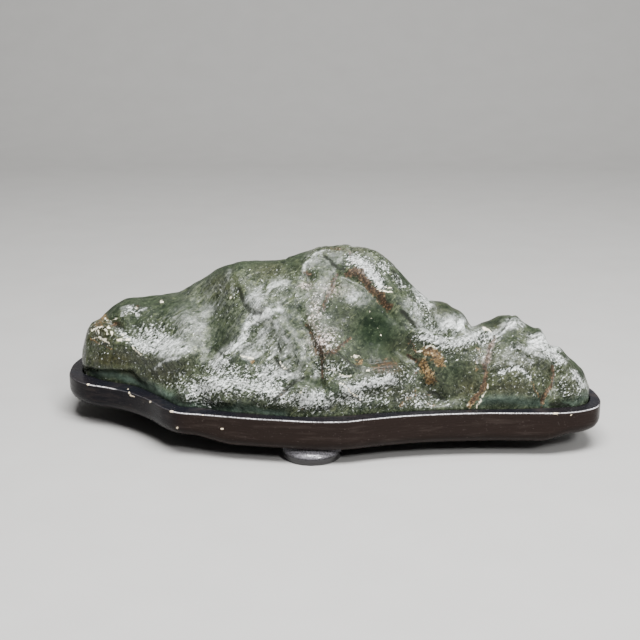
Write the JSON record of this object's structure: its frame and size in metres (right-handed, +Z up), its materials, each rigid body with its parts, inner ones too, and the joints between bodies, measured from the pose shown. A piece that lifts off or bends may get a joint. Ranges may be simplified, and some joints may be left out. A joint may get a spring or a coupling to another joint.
{
  "type": "suiseki stone",
  "caption": "Long dark green mountain-shaped viewing stone that rests in the carved seat of a flat black wooden stand on round button feet.",
  "frame": {"origin": "on the floor, under the middle of the bounding box", "axes": "+X along the stone's length to the viewer's right, +Y to the back, +Z up"},
  "size_m": [0.3413, 0.1441, 0.123],
  "materials": {
    "green_stone": "dark jade green with grey-green mottling, rust and ochre veins, a wet-looking gloss and pale sparkle on rough faces",
    "black_lacquer": "brown-black satin lacquer on carved wood, with small chips along the edges",
    "black_foot": "glossy black lacquer on turned wood"
  },
  "bodies": {
    "root": {"stone": "green_stone", "stand": "black_lacquer", "foot_front": "black_foot", "foot_left": "black_foot", "foot_right": "black_foot"}
  },
  "joints": []
}
